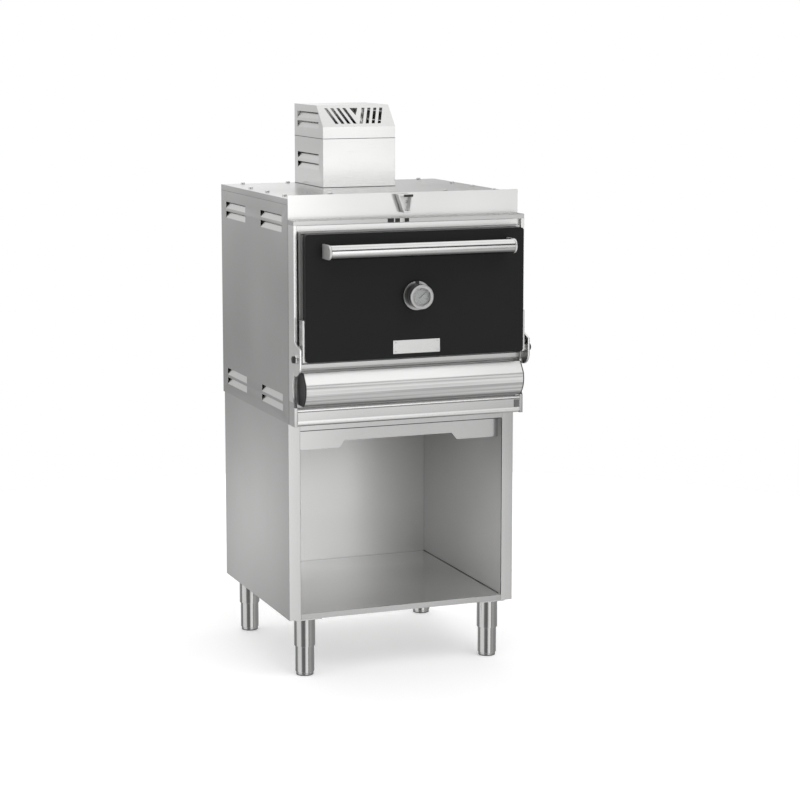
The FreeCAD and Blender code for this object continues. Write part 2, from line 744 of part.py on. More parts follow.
def make_damper():
    bore = pipe_diameter - 2 * pipe_wall
    pipe = rod_z(z_pipe, z_pipe + pipe_length, 0, flue_y, pipe_diameter)
    pipe = pipe.cut(rod_z(z_pipe, z_pipe + pipe_length, 0, flue_y, bore))
    hole = damper_rod_diameter + 2 * running_clearance
    pipe = pipe.cut(rod_y(flue_y - pipe_diameter, flue_y + pipe_diameter, 0, z_rod, hole))

    lever_y = rim_depth - slide_gap - lever_hub_length
    rod = rod_y(lever_y, flue_y + pipe_diameter / 2 + damper_rod_tail, 0, z_rod, damper_rod_diameter)
    plate_diameter = bore - 2 * damper_edge_gap
    reach = plate_diameter / 2
    rod = rod.cut(box(damper_flat, damper_rod_diameter, flue_y - reach, flue_y + reach,
                      z_rod - damper_rod_diameter, z_rod + damper_rod_diameter))
    disc = rod_x(damper_flat, damper_flat + damper_plate_thickness, flue_y, z_rod, plate_diameter)

    top = lever_top_width / 2
    foot = lever_foot_width / 2
    slope = (top - foot) / (lever_top + lever_foot)
    window_top = top - slope * (lever_top + lever_window_top) - lever_web
    window_foot = top - slope * (lever_top + lever_window_foot) - lever_web
    lever = profile_y([(-top, z_rod + lever_top), (top, z_rod + lever_top), (foot, z_rod - lever_foot),
                       (-foot, z_rod - lever_foot)], lever_y, lever_y + lever_thickness)
    lever = lever.cut(profile_y(
        [(-window_top, z_rod - lever_window_top), (window_top, z_rod - lever_window_top),
         (window_foot, z_rod - lever_window_foot), (-window_foot, z_rod - lever_window_foot)],
        lever_y, lever_y + lever_thickness))
    lever = fused([lever, rod_y(lever_y, rim_depth - slide_gap, 0, z_rod, lever_hub_diameter)])
    lever = lever.cut(rod_y(lever_y, rim_depth, 0, z_rod, damper_rod_diameter))
    return {"flue_pipe": pipe, "damper_rod": rod, "damper_plate": disc, "damper_lever": lever}


def make_hat():
    outer = box(-hat_half, hat_half, hat_front, hat_back, z_top, z_cap)
    body = outer.cut(box(-hat_half + sheet, hat_half - sheet, hat_front + sheet, hat_back - sheet,
                         z_top + sheet, z_cap))
    body = body.cut(box(-hat_half + hat_flange, hat_half - hat_flange, hat_front + hat_flange,
                        hat_back - hat_flange, z_top, z_top + sheet))
    body = gilled_both(body, z_top + hat_gill_rise)

    z_bend = z_cap + cap_front_height
    z_crown = z_cap + cap_height
    slope_back = hat_front + cap_slope_depth
    points = [(hat_front, z_cap), (hat_front, z_bend), (slope_back, z_crown), (hat_back, z_crown),
              (hat_back, z_cap)]
    outline = polygon([V(0, y, z) for y, z in points])
    inside = outline.makeOffset2D(-sheet).extrude(V(hat_width - 2 * sheet, 0, 0))
    inside.translate(V(-hat_half + sheet, 0, 0))
    inner = hat_half - sheet
    mouth = box(-inner, inner, hat_front + sheet, hat_back - sheet, z_cap, z_cap + 2 * sheet)
    cap = profile_x(points, -hat_half, hat_half).cut(inside).cut(mouth)
    cap = gilled_both(cap, z_cap + cap_gill_rise)
    cap = cap.cut(Part.makeCompound(vent_cutters(z_bend, slope_back, z_crown)))
    return {"hat_box": body, "hat_cap": cap}


def gilled_both(shell, z_pair):
    y = flue_y + hat_gill_shift
    shell = gills_right(shell, hat_half, y, z_pair)
    return mirrored(gills_right(mirrored(shell), hat_half, y, z_pair))


def vent_cutters(z_bend, slope_back, z_crown):
    # Slots that lean outwards from the middle of the cap's slope, and a triangle between the first two.
    up = V(0, slope_back - hat_front, z_crown - z_bend)
    slope_length = up.Length
    up.normalize()
    outwards = V(0, up.z * -1, up.y)
    start = (slope_length - vent_slot_length) / 2
    depth = 4 * sheet

    def on_slope(x, along):
        return V(x, hat_front, z_bend) + up * along - outwards * (depth / 2)

    def cutter(corners):
        return polygon([on_slope(x, along) for x, along in corners]).extrude(outwards * depth)

    w = vent_slot_width / 2
    end = start + vent_slot_length
    cutters = []
    for i in range(vent_slot_count):
        low = vent_slot_first + i * vent_slot_pitch
        high = low + vent_slot_lean
        for side in (-1, 1):
            cutters.append(cutter([(side * (low - w), start), (side * (low + w), start),
                                   (side * (high + w), end), (side * (high - w), end)]))
    reach = vent_triangle_width / 2
    cutters.append(cutter([(-reach, end), (reach, end), (0, end - vent_triangle_height)]))
    return cutters


def main():
    nodes = {}
    for make in (make_legs, make_cabinet, make_casing, make_front, make_firebox, make_chamber_fittings,
                 make_drawer, make_door, make_hinges, make_handle, make_thermometer, make_damper, make_hat):
        nodes.update(make())
    os.makedirs("parts", exist_ok=True)
    for name, shape in nodes.items():
        shape.translate(V(0, -y_middle, 0))
        shape.exportStep("parts/" + name + ".step")
        print(name, len(shape.Solids), shape.isValid(), round(shape.Volume / 1000, 1), "cm3")
    print(len(nodes), "nodes, front rim at y =", -y_middle)


main()
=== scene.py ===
import bpy
import json
import math
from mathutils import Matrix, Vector


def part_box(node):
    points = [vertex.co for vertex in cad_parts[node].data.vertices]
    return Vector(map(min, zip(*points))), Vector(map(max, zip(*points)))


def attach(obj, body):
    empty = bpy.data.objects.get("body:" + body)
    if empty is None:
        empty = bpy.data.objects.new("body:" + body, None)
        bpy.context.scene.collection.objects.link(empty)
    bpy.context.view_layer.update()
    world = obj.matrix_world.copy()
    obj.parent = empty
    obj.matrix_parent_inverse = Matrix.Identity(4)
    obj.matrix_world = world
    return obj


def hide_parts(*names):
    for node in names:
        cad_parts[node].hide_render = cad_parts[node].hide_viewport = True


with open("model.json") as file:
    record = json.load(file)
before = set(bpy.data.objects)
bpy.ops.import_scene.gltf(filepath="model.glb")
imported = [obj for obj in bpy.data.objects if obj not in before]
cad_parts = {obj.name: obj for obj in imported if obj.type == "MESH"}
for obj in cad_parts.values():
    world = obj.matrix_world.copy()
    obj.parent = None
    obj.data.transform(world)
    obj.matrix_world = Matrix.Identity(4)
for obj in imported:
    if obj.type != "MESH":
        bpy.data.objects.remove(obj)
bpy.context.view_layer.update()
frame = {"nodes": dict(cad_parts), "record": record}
cad = frame["nodes"]
mm = 0.001
rim = -272.25  # the oven's front rim, mm along Y
smoothAngle = math.radians(35)
print("frame loaded,", len(cad), "nodes")


class Link:  # a shader socket that can be used in sums
    def __init__(self, tree, socket):
        self.tree = tree
        self.socket = socket

    def op(self, operation, a, b=0.0):
        return self.tree.node("ShaderNodeMath", {"operation": operation}, {0: a, 1: b})

    def __add__(self, other):
        return self.op("ADD", self, other)

    def __radd__(self, other):
        return self.op("ADD", other, self)

    def __sub__(self, other):
        return self.op("SUBTRACT", self, other)

    def __rsub__(self, other):
        return self.op("SUBTRACT", other, self)

    def __mul__(self, other):
        return self.op("MULTIPLY", self, other)

    def __rmul__(self, other):
        return self.op("MULTIPLY", other, self)

    def __pow__(self, other):
        return self.op("POWER", self, other)

    def __abs__(self):
        return self.op("ABSOLUTE", self)

    def __gt__(self, other):
        return self.op("GREATER_THAN", self, other)

    def __lt__(self, other):
        return self.op("LESS_THAN", self, other)


class Tree:  # nodes of one material or of the world
    def __init__(self, owner):
        owner.use_nodes = True
        self.owner = owner
        self.nodes = owner.node_tree.nodes
        self.links = owner.node_tree.links
        self.nodes.clear()

    def node(self, kind, settings=None, sockets=None, out=0):
        made = self.nodes.new(kind)
        for name, value in (settings or {}).items():
            if name == "stops":
                ramp = made.color_ramp
                while len(ramp.elements) < len(value):
                    ramp.elements.new(0.5)
                for stop, (place, colour) in zip(ramp.elements, value):
                    stop.position = place
                    stop.color = (*colour, 1)
            else:
                setattr(made, name, value)
        for name, value in (sockets or {}).items():
            if isinstance(value, Link):
                self.links.new(value.socket, made.inputs[name])
            else:
                made.inputs[name].default_value = value
        return Link(self, made.outputs[out]) if len(made.outputs) else made


def newFinish(name):
    return Tree(bpy.data.materials.new(name))


def place(tree, scale=(1, 1, 1), shift=(0, 0, 0)):
    at = tree.node("ShaderNodeTexCoord", {}, {}, "Object")
    return tree.node("ShaderNodeMapping", {}, {"Vector": at, "Scale": scale, "Location": shift})


def coordinate(tree, axis, at=None):  # X, Y or Z of a vector, or of the place on the piece
    return tree.node("ShaderNodeSeparateXYZ", {}, {0: at or place(tree)}, axis)


def noise(tree, at, scale, detail=3.0, rough=0.55):
    sockets = {"Vector": at, "Scale": scale, "Detail": detail, "Roughness": rough}
    return tree.node("ShaderNodeTexNoise", {}, sockets)


def mixed(tree, amount, a, b):
    return tree.node("ShaderNodeMix", {"data_type": "RGBA"}, {0: amount, 6: a, 7: b}, 2)


def remap(tree, value, lowIn, highIn, lowOut, highOut, smooth=False):
    kind = {"interpolation_type": "SMOOTHSTEP"} if smooth else {}
    return tree.node("ShaderNodeMapRange", kind, {0: value, 1: lowIn, 2: highIn, 3: lowOut, 4: highOut})


def bumped(tree, height, strength, distance):
    return tree.node("ShaderNodeBump", {}, {"Height": height, "Strength": strength, "Distance": distance})


def close(tree, sockets):
    shader = tree.node("ShaderNodeBsdfPrincipled", {}, sockets)
    tree.node("ShaderNodeOutputMaterial", {}, {0: shader})
    return tree.owner


def grey(level):
    return (level, level, level * 0.99, 1)


brushed = {"x": (14, 900, 900), "y": (900, 14, 900), "z": (900, 900, 14)}  # stretches noise into brush lines


def steelFinish(name, tone, rough, along, metal=1.0, sunk=None, glow=None, bands=()):
    tree = newFinish(name)
    grain = noise(tree, place(tree, brushed[along]), 1.0, 2.0)
    cloud = noise(tree, place(tree), 2.2, 1.0)  # slow changes over a panel
    smear = noise(tree, place(tree, (1, 1, 0.4)), 17.0, 4.0)  # wiping marks
    tint = grain * 0.14 + 0.05 + remap(tree, cloud, 0.3, 0.7, 0.0, 0.7) + smear * 0.06
    colour = mixed(tree, tint, grey(tone * 0.8), grey(tone * 1.18))
    if sunk:  # painted highlight on the pushed-in lips, which catch more light than the flat sheet
        lip = abs(coordinate(tree, "X")) < sunk
        colour = mixed(tree, lip * 0.75, colour, grey(0.97))
    if glow:  # painted light and shade: a wide soft pool of painted light round a point of a wall's plane, turning to painted shade further off
        across = (coordinate(tree, glow["across"]) - glow["at"][0]) * glow["spread"]
        rise = coordinate(tree, "Z") - glow["at"][1]
        far = remap(tree, (across * across + rise * rise) ** 0.5, 0.0, glow["reach"], 0.0, 1.0, True)
        light = mixed(tree, glow["light"], colour, grey(1.0))
        colour = mixed(tree, far, light, mixed(tree, glow["dark"], colour, grey(0.1)))
    for axis, low, high, amount, shade in bands:  # a band of painted shade or painted highlight along an edge
        reach = coordinate(tree, axis)
        colour = mixed(tree, (reach > low) * (reach < high) * amount, colour, grey(shade))
    dull = grain * 0.06 + smear * 0.02 + cloud * 0.06 + (rough - 0.07)
    return close(tree, {"Base Color": colour, "Roughness": dull, "Metallic": metal,
                        "Normal": bumped(tree, grain, 0.03, 0.0004)})


def polishedFinish(name, tone, rough, underShade=None):
    tree = newFinish(name)
    turned = noise(tree, place(tree, (60, 900, 900)), 1.0, 2.0)
    cloud = noise(tree, place(tree), 30.0, 3.0)
    colour = mixed(tree, cloud, grey(tone * 0.94), grey(tone * 1.04))
    if underShade:  # painted shade on the underside of a bar, where it reflects the dark door
        z = coordinate(tree, "Z")
        colour = mixed(tree, remap(tree, z, underShade[0], underShade[1], 0.75, 0.0, True), colour, grey(0.04))
    dull = turned * 0.05 + cloud * 0.05 + (rough - 0.05)
    return close(tree, {"Base Color": colour, "Roughness": dull, "Metallic": 1.0,
                        "Normal": bumped(tree, turned, 0.02, 0.0003)})


def doorFinish(name, rear, top):
    tree = newFinish(name)
    peel = noise(tree, place(tree), 260.0, 2.0)  # fine texture of the coating
    cloud = noise(tree, place(tree), 5.0, 3.0)
    colour = mixed(tree, cloud, (0.0135, 0.0135, 0.014, 1), (0.0185, 0.0185, 0.019, 1))
    y = coordinate(tree, "Y")
    z = coordinate(tree, "Z")
    bare = (y > rear) * (z < top)  # on its sides the coating ends before the back edge
    return close(tree, {"Base Color": mixed(tree, bare, colour, grey(0.4)), "Metallic": bare,
                        "Roughness": cloud * 0.1 + peel * 0.06 + 0.27,
                        "Normal": bumped(tree, peel, 0.05, 0.0004), "Specular IOR Level": 0.1})


def sootFinish(name, dark, light):
    tree = newFinish(name)
    patch = noise(tree, place(tree), 9.0, 6.0, 0.65)
    fine = noise(tree, place(tree), 170.0, 3.0)
    colour = mixed(tree, patch, dark, light)
    return close(tree, {"Base Color": colour, "Roughness": fine * 0.2 + patch * 0.15 + 0.5, "Metallic": 0.35,
                        "Normal": bumped(tree, fine + patch, 0.25, 0.0008)})


def ironFinish(name):
    tree = newFinish(name)
    sand = noise(tree, place(tree), 420.0, 4.0, 0.7)
    patch = noise(tree, place(tree), 11.0, 5.0)
    colour = mixed(tree, patch, (0.022, 0.021, 0.02, 1), (0.06, 0.055, 0.05, 1))
    return close(tree, {"Base Color": colour, "Roughness": sand * 0.2 + 0.58, "Metallic": 0.6,
                        "Normal": bumped(tree, sand, 0.5, 0.0008)})


def woolFinish(name, dark, light):
    tree = newFinish(name)
    fibre = noise(tree, place(tree, (40, 300, 300)), 1.0, 5.0, 0.7)
    lump = noise(tree, place(tree), 40.0, 4.0)
    colour = mixed(tree, fibre * 0.6 + lump * 0.4, dark, light)
    return close(tree, {"Base Color": colour, "Roughness": lump * 0.1 + 0.85,
                        "Normal": bumped(tree, fibre + lump, 0.8, 0.002)})


def plasticFinish(name, tone, rough):
    tree = newFinish(name)
    fine = noise(tree, place(tree), 500.0, 2.0)
    cloud = noise(tree, place(tree), 25.0, 3.0)
    colour = mixed(tree, cloud, grey(tone * 0.8), grey(tone * 1.25))
    return close(tree, {"Base Color": colour, "Roughness": fine * 0.12 + (rough - 0.06),
                        "Normal": bumped(tree, fine, 0.12, 0.0004)})


def soleFinish(name, line):
    tree = newFinish(name)
    fine = noise(tree, place(tree), 500.0, 2.0)
    collar = coordinate(tree, "Z") > line  # steel above the plastic sole
    colour = mixed(tree, fine, grey(0.11), grey(0.17))
    return close(tree, {"Base Color": mixed(tree, collar, colour, grey(0.46)), "Metallic": collar,
                        "Roughness": fine * 0.12 + 0.2})


marks = {  # the dial's scale: half its sweep in radians, its lines as shares of a step and of the reach
    "half": 2.15,
    "outer": 0.90,
    "fine": {"count": 80, "width": 0.16, "inner": 0.80},
    "bold": {"count": 16, "width": 0.07, "inner": 0.72},
}


def ticks(angle, radius, reach, kind):
    turn = angle * (kind["count"] / (2 * math.pi)) + 50.5  # kept above zero, with a line at the top
    return (abs(turn.op("FRACT", turn) - 0.5) < kind["width"]) * (radius > reach * kind["inner"])


def dialFinish(name, centre, reach):
    tree = newFinish(name)
    at = place(tree, shift=(-centre[0], -centre[1], -centre[2]))
    x = coordinate(tree, "X", at)
    z = coordinate(tree, "Z", at)
    radius = (x * x + z * z) ** 0.5
    angle = x.op("ARCTAN2", x, z)  # clockwise from the top
    scale = (abs(angle) < marks["half"]) * (radius < reach * marks["outer"])  # it leaves the bottom free
    fine, bold = [ticks(angle, radius, reach, marks[kind]) for kind in ("fine", "bold")]
    ink = scale.op("MAXIMUM", fine, bold) * scale
    speck = noise(tree, place(tree), 300.0, 2.0)
    paper = mixed(tree, speck, (0.29, 0.29, 0.29, 1), (0.36, 0.36, 0.357, 1))
    colour = mixed(tree, ink, paper, (0.03, 0.03, 0.03, 1))
    return close(tree, {"Base Color": colour, "Roughness": speck * 0.1 + 0.4, "Metallic": 0.2})


def lensFinish(name):
    tree = newFinish(name)
    dust = noise(tree, place(tree), 90.0, 3.0)
    return close(tree, {"Base Color": (0.9, 0.92, 0.92, 1), "Roughness": dust * 0.05 + 0.03,
                        "Alpha": dust * 0.05 + 0.10})


def frameFinish(name, strip, top, sill):
    tree = newFinish(name)
    grain = noise(tree, place(tree, brushed["x"]), 1.0, 2.0)
    cloud = noise(tree, place(tree), 6.0, 3.0)
    y = coordinate(tree, "Y")
    z = coordinate(tree, "Z")
    shaded = (y > strip) * (z < top)  # painted shade beside and below the door, behind its bright strip
    dark = mixed(tree, cloud, grey(0.4), grey(0.5))
    bright = mixed(tree, grain, grey(0.78), grey(0.94))
    # painted shade on the bright strip below the sill
    bright = mixed(tree, z < sill, bright, mixed(tree, grain, grey(0.5), grey(0.62)))
    return close(tree, {"Base Color": mixed(tree, shaded, bright, dark), "Roughness": grain * 0.1 + 0.24,
                        "Metallic": 1.0, "Normal": bumped(tree, grain, 0.05, 0.0004)})


def castFinish(name, tone, rough):
    tree = newFinish(name)
    sand = noise(tree, place(tree), 700.0, 2.0)
    cloud = noise(tree, place(tree), 40.0, 3.0)
    colour = mixed(tree, cloud, grey(tone * 0.92), grey(tone * 1.06))
    return close(tree, {"Base Color": colour, "Roughness": sand * 0.12 + (rough - 0.06), "Metallic": 0.75,
                        "Normal": bumped(tree, sand, 0.06, 0.0003)})


def drumFinish(name, low, high, edge):
    tree = newFinish(name)
    streakAndReflection = noise(tree, place(tree, (0.6, 40, 130)), 1.0, 3.0)  # broad bands: painted reflection bands in the colour, and streaks left by rolling and wiping in the roughness
    grain = noise(tree, place(tree, brushed["x"]), 1.0, 2.0)
    z = coordinate(tree, "Z")
    # painted light on the upper slope, painted shade over the lower curve
    upper = remap(tree, z, low, high, 0.0, 1.0, True)
    dark = mixed(tree, remap(tree, streakAndReflection, 0.42, 0.6, 0.0, 1.0), grey(0.42), grey(0.74))
    dark = mixed(tree, remap(tree, z, edge, edge + 0.004, 0.8, 0.0, True), dark, grey(0.12))  # painted shadow along its lower edge
    light = mixed(tree, streakAndReflection, grey(0.9), grey(0.98))
    fadingHighlight = remap(tree, coordinate(tree, "X"), 0.0, 0.3, 0.0, 0.3, True)  # painted highlight fading towards its right end
    light = mixed(tree, fadingHighlight, light, grey(0.5))
    return close(tree, {"Base Color": mixed(tree, upper, dark, light), "Metallic": upper * 0.65 + 0.3,
                        "Roughness": grain * 0.08 + streakAndReflection * 0.1 + 0.22,
                        "Normal": bumped(tree, grain, 0.06, 0.0004)})


rearShade = ("Y", (rim + 641.4) * mm, 1.0, 0.7, 0.3)  # outer side of the cabinet's back
lipShade = ("Y", -1.0, (rim + 63) * mm, 0.55, 0.3)  # front of the shelf
finish = {  # heights and places in metres
    # painted light and shade over the oven's sides, painted highlight on their pushed-in lips
    "side": steelFinish("sideSheet", 0.60, 0.25, "z", sunk=0.3294, glow={
        "across": "Y", "at": (0.1, 1.35), "spread": 1.0, "reach": 0.75, "light": 0.08, "dark": 0.22}),
    "rear": steelFinish("rearSheet", 0.60, 0.25, "z"),
    "front": steelFinish("frontSheet", 0.8, 0.25, "x"),
    "surround": steelFinish("surroundSheet", 0.8, 0.25, "x", bands=[
        ("Z", 1.2385, 2.0, 0.5, 0.3),  # painted shade on the ledge of its upper bar
        ("Z", 0.0, 0.77, 0.45, 0.3)]),  # painted shade on its foot, beside the lower rail
    "clip": steelFinish("clipSheet", 0.92, 0.35, "z", 0.3),
    "cast": castFinish("castSteel", 0.78, 0.45),
    "bezel": castFinish("bezelSteel", 0.52, 0.42),
    "case": polishedFinish("caseSteel", 0.42, 0.3),
    "drum": drumFinish("drumSheet", 0.812, 0.826, 0.7665),
    "frame": frameFinish("frameSheet", (rim + 11) * mm, 1.2, 0.9),
    # painted light and shade over the cabinet's inner walls
    "lining": steelFinish("liningSheet", 0.82, 0.3, "z", 0.66, bands=[rearShade], glow={
        "across": "X", "at": (-0.3, 0.2), "spread": 0.4, "reach": 0.6, "light": 0.95, "dark": 0.2}),
    # painted light and shade over the cabinet's back
    "backing": steelFinish("backingSheet", 0.98, 0.3, "z", 0.45, bands=[rearShade], glow={
        "across": "X", "at": (-0.1, 0.2), "spread": 0.2, "reach": 0.55, "light": 1.0, "dark": 0.5}),
    # painted light and shade over the shelf
    "shelf": steelFinish("shelfSheet", 0.97, 0.24, "x", 0.7, bands=[lipShade], glow={
        "across": "Y", "at": (0.35, 0.2), "spread": 1.0, "reach": 0.75, "light": 0.1, "dark": 0.45}),
    "rail": steelFinish("railSheet", 0.55, 0.25, "x", bands=[
        ("Z", 0.0, 0.7205, 0.6, 0.98),  # painted highlight along its foot
        ("Z", 0.7435, 0.7465, 0.75, 0.12),  # painted shade line
        ("Z", 0.7465, 0.8, 0.8, 0.98)]),  # painted highlight on its upper edge
    # painted light and shade over the cabinet's outer walls
    "cabinet": steelFinish("cabinetSheet", 0.62, 0.24, "z", glow={
        "across": "Y", "at": (0.12, 0.38), "spread": 1.0, "reach": 0.5, "light": 0.38, "dark": 0.16}),
    "top": steelFinish("topSheet", 0.62, 0.26, "y"),
    # painted highlight over the lower part of the hat
    "hat": steelFinish("hatSheet", 0.8, 0.26, "x", glow={
        "across": "X", "at": (0.0, 1.29), "spread": 0.0, "reach": 0.17, "light": 1.0, "dark": 0.0}),
    "liner": steelFinish("linerSheet", 0.56, 0.32, "x"),
    "polished": polishedFinish("polishedSteel", 0.74, 0.14),
    "leg": polishedFinish("legSteel", 0.54, 0.14),
    # the handle bar's underside gets painted shade
    "handle": polishedFinish("handleSteel", 0.74, 0.14, underShade=(1.160, 1.173)),
    "satin": polishedFinish("satinSteel", 0.66, 0.26),
    "door": doorFinish("doorCoating", (rim - 17) * mm, 1.215),
    "firebox": sootFinish("fireboxSteel", (0.012, 0.011, 0.01, 1), (0.05, 0.043, 0.037, 1)),
    "rack": sootFinish("rackSteel", (0.12, 0.11, 0.10, 1), (0.3, 0.28, 0.25, 1)),
    "iron": ironFinish("castGrate"),
    "wool": woolFinish("mineralWool", (0.3, 0.26, 0.17, 1), (0.6, 0.55, 0.42, 1)),
    "rope": woolFinish("ropeSeal", (0.03, 0.03, 0.03, 1), (0.12, 0.115, 0.11, 1)),
    "pad": plasticFinish("padPlastic", 0.14, 0.5),
    "sole": soleFinish("solePlastic", 0.0035),
    "black": plasticFinish("blackPlastic", 0.016, 0.42),
    "lens": lensFinish("dialLens"),
    "dial": dialFinish("dialFace", (0, rim * mm, 1.047), 0.0240),
}
print("finishes made")


def dress(obj, name):
    obj.data.materials.clear()
    obj.data.materials.append(finish[name])


carried = {
    "side": ["side_panel_left", "side_panel_right"],
    "rear": ["rear_panel"],
    "front": ["fascia", "hinge_ears", "damper_lever"],
    "surround": ["front_surround"],
    "frame": ["door_frame"],
    "rail": ["lower_rail"],
    "drum": ["drawer_front"],
    "cabinet": ["cabinet_side_left", "cabinet_side_right", "cabinet_rails", "cabinet_apron", "leg_plates",
                "base_plate"],
    "lining": ["cabinet_linings"],
    "backing": ["cabinet_back"],
    "shelf": ["cabinet_shelf"],
    "top": ["top_cover", "ash_tray", "drawer_runners"],
    "liner": ["door_back_plate", "door_liner"],
    "hat": ["hat_box", "hat_cap"],
    "cast": ["handle_posts"],
    "polished": ["top_screws", "hinge_pins"],
    "handle": ["handle_bar"],
    "leg": ["leg_sleeves", "foot_front_left", "foot_front_right", "foot_rear_left", "foot_rear_right"],
    "case": ["thermometer_case"],
    "satin": ["damper_rod", "damper_plate", "door_straps", "door_plate"],
    "door": ["door_shell"],
    "firebox": ["firebox_sides", "firebox_back", "firebox_roof", "firebox_floor", "chamber_ledges",
                "flue_pipe"],
    "rack": ["grill_racks"],
    "iron": ["fire_grate"],
    "wool": ["insulation", "door_insulation"],
    "rope": ["door_seal"],
    "sole": ["foot_pad_front_left", "foot_pad_front_right", "foot_pad_rear_left", "foot_pad_rear_right"],
    "black": ["drawer_end_caps", "thermometer_needle"],
    "lens": ["thermometer_lens"],
    "dial": ["thermometer_dial"],
}
for name, members in carried.items():
    for node in members:
        dress(cad[node], name)
print("nodes dressed")

bodyOf = {node: body for body, members in frame["record"]["behaviour"]["bodies"].items() for node in members}
finishOf = {node: name for name, members in carried.items() for node in members}


def only(obj):
    bpy.ops.object.select_all(action="DESELECT")
    obj.select_set(True)
    bpy.context.view_layer.objects.active = obj


def settle(obj, name, body, look, stands=()):
    only(obj)
    bpy.ops.object.transform_apply(location=True, rotation=True, scale=True)
    obj.name = name
    dress(obj, look)
    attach(obj, body)
    if stands:
        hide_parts(*stands)
    return obj


def edged(obj, width, steps=2, angle=30):  # rounded edges
    only(obj)
    bpy.ops.object.modifier_add(type="BEVEL")
    edge = obj.modifiers[-1]
    edge.width = width * mm
    edge.segments = steps
    edge.limit_method = "ANGLE"
    edge.angle_limit = math.radians(angle)
    bpy.ops.object.modifier_apply(modifier=edge.name)
    bpy.ops.object.shade_smooth_by_angle(angle=smoothAngle)
    bpy.ops.object.modifier_add(type="WEIGHTED_NORMAL")  # broad faces stay flat beside their rounded edges
    even = obj.modifiers[-1]
    even.keep_sharp = True
    bpy.ops.object.modifier_apply(modifier=even.name)


folds = {  # radius of the folds and edges of each sheet or plate, mm
    "front_surround": 1.0, "fascia": 0.6, "top_cover": 0.7, "side_panel_left": 0.5, "side_panel_right": 0.5,
    "rear_panel": 0.6, "cabinet_side_left": 0.7, "cabinet_side_right": 0.7, "cabinet_shelf": 0.7,
    "cabinet_rails": 0.6, "cabinet_apron": 0.6, "cabinet_back": 0.6, "hat_box": 0.7, "hat_cap": 0.7,
    "lower_rail": 0.7, "drawer_front": 0.7, "door_shell": 0.9, "door_frame": 0.7, "door_back_plate": 1.0,
    "door_liner": 1.0, "ash_tray": 0.6, "handle_posts": 2.0, "handle_bar": 0.6, "hinge_ears": 1.2,
    "door_straps": 1.2, "drawer_end_caps": 0.8, "leg_plates": 0.8, "leg_sleeves": 1.2, "door_plate": 0.5,
    "foot_front_left": 1.2, "foot_front_right": 1.2, "foot_rear_left": 1.2, "foot_rear_right": 1.2,
    "foot_pad_front_left": 1.5, "foot_pad_front_right": 1.5, "foot_pad_rear_left": 1.5,
    "foot_pad_rear_right": 1.5, "fire_grate": 1.5, "firebox_roof": 0.8, "flue_pipe": 0.5,
    "thermometer_case": 1.0,
}
pierced = ("front_surround", "top_cover", "door_shell", "door_back_plate", "door_liner", "side_panel_left",
           "side_panel_right")  # holes in a wide face: its triangles stay as they are
for node, radius in folds.items():
    obj = bpy.data.objects.new(node, cad[node].data.copy())
    bpy.context.collection.objects.link(obj)
    only(obj)
    bpy.ops.mesh.customdata_custom_splitnormals_clear()
    bpy.ops.object.mode_set(mode="EDIT")
    bpy.ops.mesh.select_all(action="SELECT")
    bpy.ops.mesh.remove_doubles(threshold=0.02 * mm)
    if node not in pierced:
        bpy.ops.mesh.dissolve_limited(angle_limit=math.radians(0.5))
    bpy.ops.object.mode_set(mode="OBJECT")
    edged(obj, radius)
    settle(obj, node + "_folded", bodyOf[node], finishOf[node], [node])
print("folds rounded on", len(folds), "nodes")


def turned(steps, centre, turn, sides=64):  # lathe work: rings of (along, radius) in mm, closed at its ends
    bpy.ops.object.select_all(action="DESELECT")
    bpy.ops.mesh.primitive_circle_add(vertices=sides, radius=steps[0][1] * mm, fill_type="NOTHING")
    obj = bpy.context.object
    bpy.ops.object.mode_set(mode="EDIT")
    bpy.ops.mesh.select_all(action="SELECT")
    bpy.ops.transform.translate(value=(0, 0, steps[0][0] * mm))
    for (along, radius), (nextAlong, nextRadius) in zip(steps, steps[1:]):
        bpy.ops.mesh.extrude_region_move(TRANSFORM_OT_translate={"value": (0, 0, (nextAlong - along) * mm)})
        ratio = nextRadius / radius
        bpy.ops.transform.resize(value=(ratio, ratio, 1), center_override=(0, 0, nextAlong * mm))
    bpy.ops.mesh.select_all(action="SELECT")
    bpy.ops.mesh.remove_doubles(threshold=0.01 * mm)
    bpy.ops.mesh.select_all(action="DESELECT")
    bpy.ops.mesh.select_non_manifold()
    bpy.ops.mesh.fill_holes(sides=0)
    bpy.ops.mesh.select_all(action="SELECT")
    bpy.ops.mesh.normals_make_consistent(inside=False)
    bpy.ops.object.mode_set(mode="OBJECT")
    obj.rotation_euler = turn
    obj.location = [value * mm for value in centre]
    only(obj)
    bpy.ops.object.transform_apply(location=True, rotation=True, scale=True)
    bpy.ops.object.shade_smooth_by_angle(angle=smoothAngle)
    return obj


def block(low, high, edge):  # a plate or bar between two corners in mm, with rounded edges
    bpy.ops.object.select_all(action="DESELECT")
    bpy.ops.mesh.primitive_cube_add(size=1, location=[(a + b) / 2 * mm for a, b in zip(low, high)])
    obj = bpy.context.object
    obj.scale = [(b - a) * mm for a, b in zip(low, high)]
    bpy.ops.object.transform_apply(location=True, rotation=True, scale=True)
    if edge:
        edged(obj, edge)
    return obj


def joined(pieces):
    bpy.ops.object.select_all(action="DESELECT")
    for piece in pieces:
        piece.select_set(True)
    bpy.context.view_layer.objects.active = pieces[0]
    bpy.ops.object.join()
    return bpy.context.object


facing = {"front": (math.pi / 2, 0, 0), "right": (0, math.pi / 2, 0), "left": (0, -math.pi / 2, 0)}


